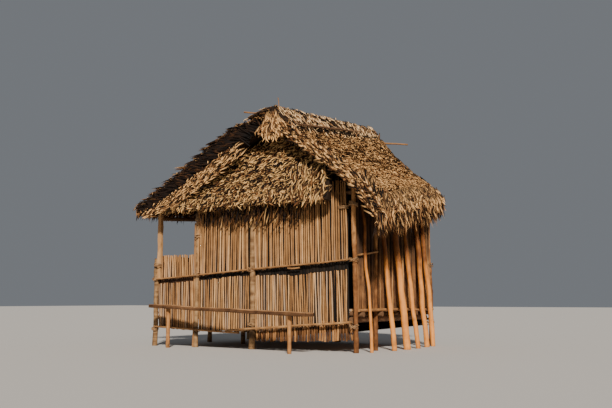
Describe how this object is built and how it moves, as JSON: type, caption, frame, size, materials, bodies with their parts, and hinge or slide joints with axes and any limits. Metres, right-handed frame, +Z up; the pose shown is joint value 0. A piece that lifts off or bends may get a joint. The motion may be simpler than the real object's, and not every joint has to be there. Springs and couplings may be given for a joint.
{
  "type": "thatched stem-walled hut",
  "caption": "Small raised hut with walls of upright palm stems between round posts, an open side veranda, a half-hipped leaf thatch roof and a plank bench in front.",
  "frame": {"origin": "middle of the whole footprint, bench included, at ground level", "axes": "+Z up, +X along the front gable from the veranda to the closed long wall, +Y from the front gable to the back gable"},
  "size_m": [3.62, 3.0004, 3.05],
  "materials": {
    "thatch": "dry palm leaf thatch, weathered grey brown",
    "ridge_thatch": "dry palm leaf thatch, sun bleached",
    "skirt_thatch": "dry palm leaf thatch, golden tan",
    "stems": "dry palm leaf stems, tan with grey weathering",
    "batten_wood": "thin peeled pole",
    "deck_wood": "split stem floor",
    "floor_poles": "round pole with bark",
    "bench_wood": "hewn plank and poles, weathered",
    "prop_wood": "peeled pole, orange brown",
    "log_wood": "knotty log, orange brown",
    "post_wood": "peeled pole, weathered",
    "roof_poles": "dark smoked pole"
  },
  "bodies": {
    "root": {"back_battens": "batten_wood", "back_inner_veranda_post": "post_wood", "back_middle_post": "post_wood", "back_right_corner_post": "log_wood", "back_skirt": "skirt_thatch", "back_veranda_rail": "stems", "back_wall_left_stems": "stems", "back_wall_right_stems": "stems", "bench_plank": "bench_wood", "bench_posts": "bench_wood", "door_posts": "post_wood", "floor_deck": "deck_wood", "floor_joists": "floor_poles", "floor_sills": "floor_poles", "front_battens": "batten_wood", "front_inner_veranda_post": "post_wood", "front_middle_post": "post_wood", "front_outer_upper_post": "post_wood", "front_outer_veranda_post": "post_wood", "front_right_corner_post": "log_wood", "front_skirt": "skirt_thatch", "front_skirting_stems": "stems", "front_veranda_rail": "stems", "front_veranda_stick": "post_wood", "front_wall_left_stems": "stems", "front_wall_right_stems": "stems", "inner_wall_back_stems": "stems", "inner_wall_front_stems": "stems", "inner_wall_over_door": "stems", "king_posts": "roof_poles", "outer_veranda_posts": "post_wood", "purlins_left": "roof_poles", "purlins_right": "roof_poles", "rafters_left": "roof_poles", "rafters_right": "roof_poles", "ridge_cap": "ridge_thatch", "ridge_pole": "roof_poles", "right_edge_pole": "floor_poles", "right_wall_back_stems": "stems", "right_wall_front_stems": "stems", "right_wall_post": "log_wood", "right_wall_props": "prop_wood", "right_wall_rail": "batten_wood", "roof_slope_left": "thatch", "roof_slope_right": "thatch", "side_veranda_rail": "stems", "tie_beams": "roof_poles", "wall_plates": "roof_poles"}
  },
  "joints": []
}
